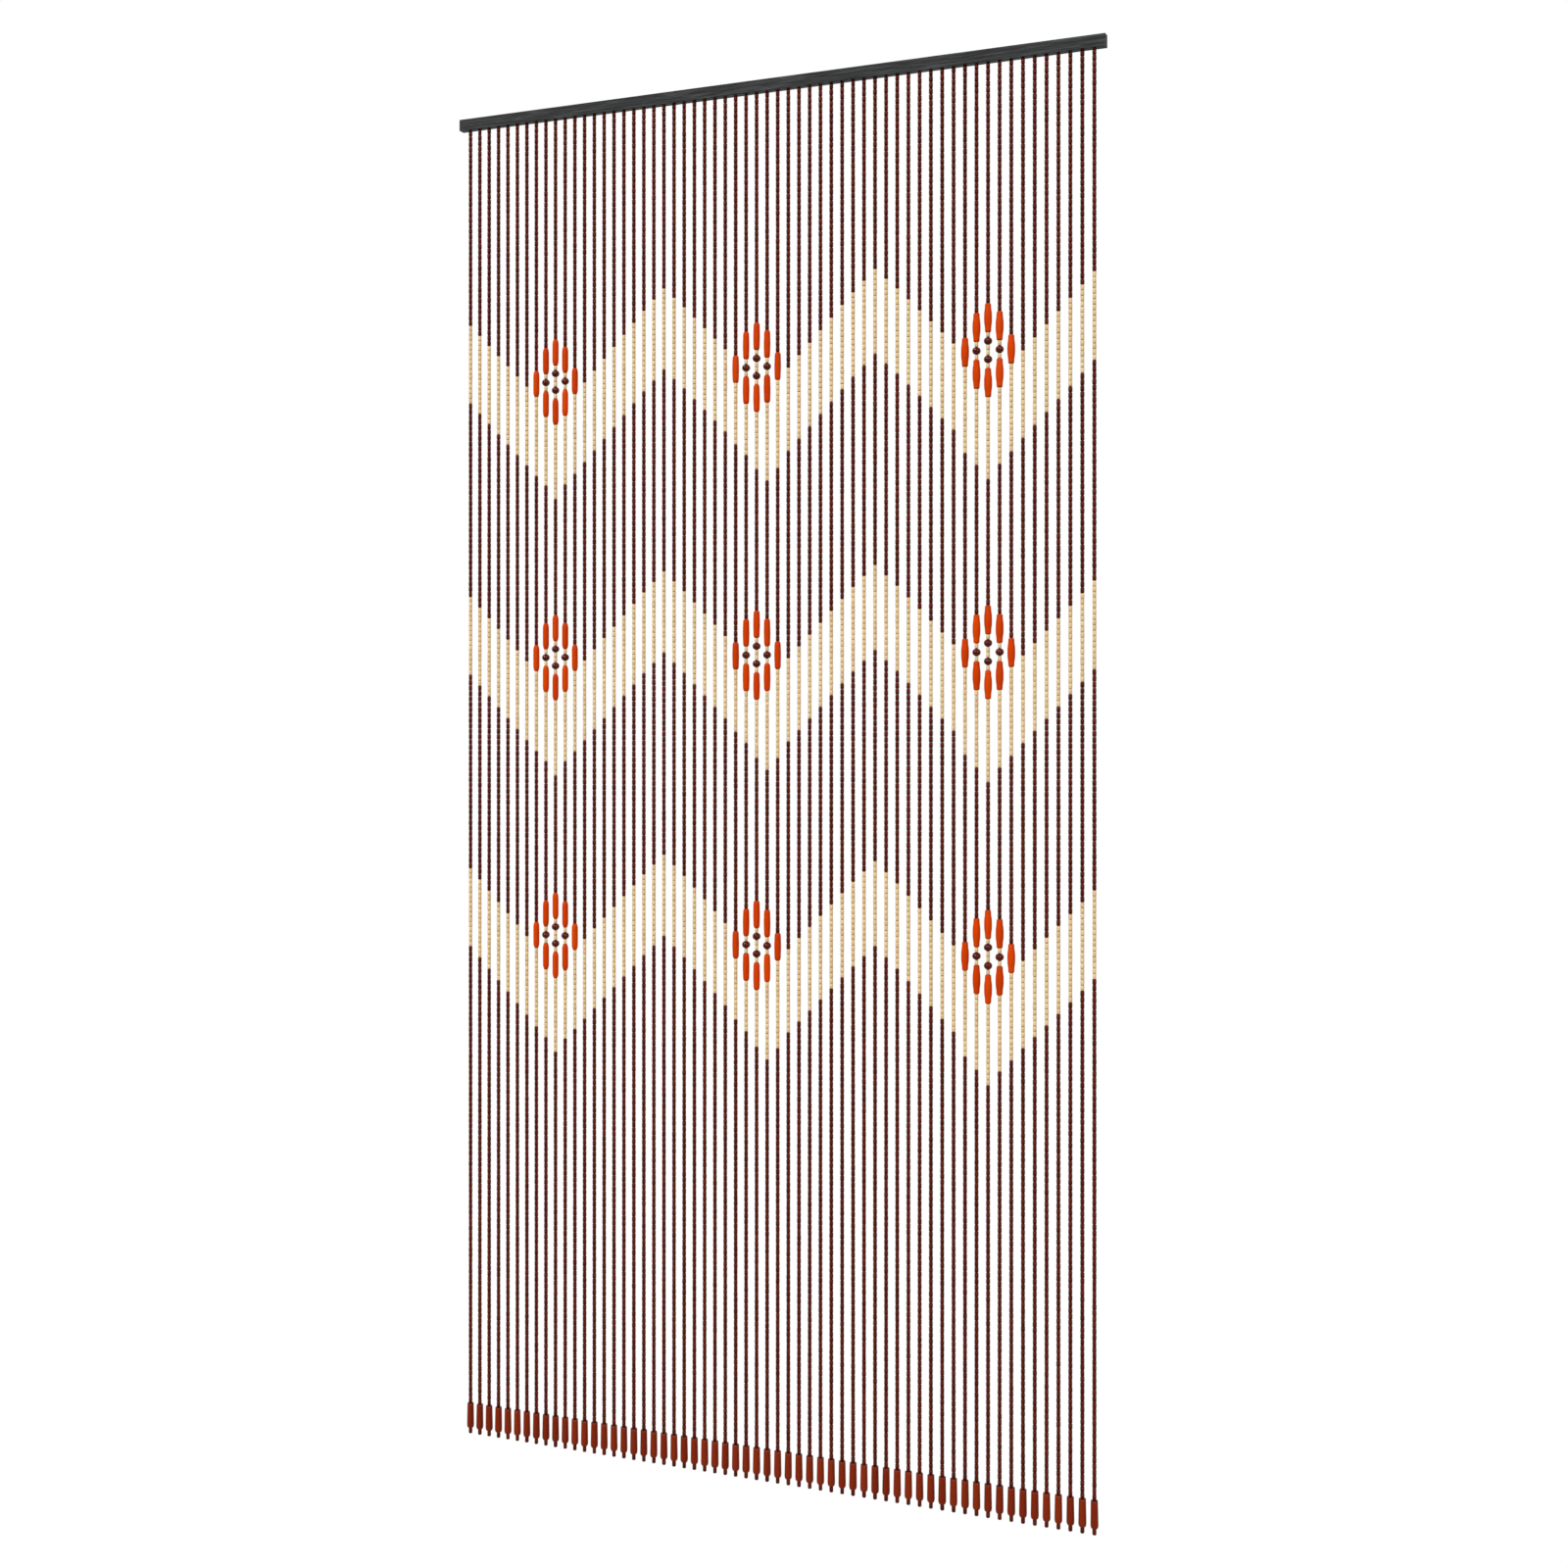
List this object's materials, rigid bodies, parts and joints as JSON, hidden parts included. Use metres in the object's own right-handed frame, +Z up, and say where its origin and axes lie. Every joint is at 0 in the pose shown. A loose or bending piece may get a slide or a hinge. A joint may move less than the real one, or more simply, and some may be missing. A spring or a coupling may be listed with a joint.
{
  "type": "bead curtain with rail",
  "caption": "Doorway curtain of wooden bead strands hanging from a flat bar, in dark brown with pale zigzag bands and orange flowers.",
  "frame": {"origin": "middle of the rail's flat back face, which lies on the door frame or wall", "axes": "+Z up, +Y into the wall behind the rail, +X to the right as seen from the front, so the front faces -Y"},
  "size_m": [1, 0.012, 2],
  "materials": {
    "painted_wood": "satin dark grey paint with a faint grain",
    "dyed_wood_beads": "dyed and varnished, dark brown with pale and orange beads"
  },
  "bodies": {
    "root": {"rail": "painted_wood", "strands": "dyed_wood_beads"}
  },
  "joints": []
}
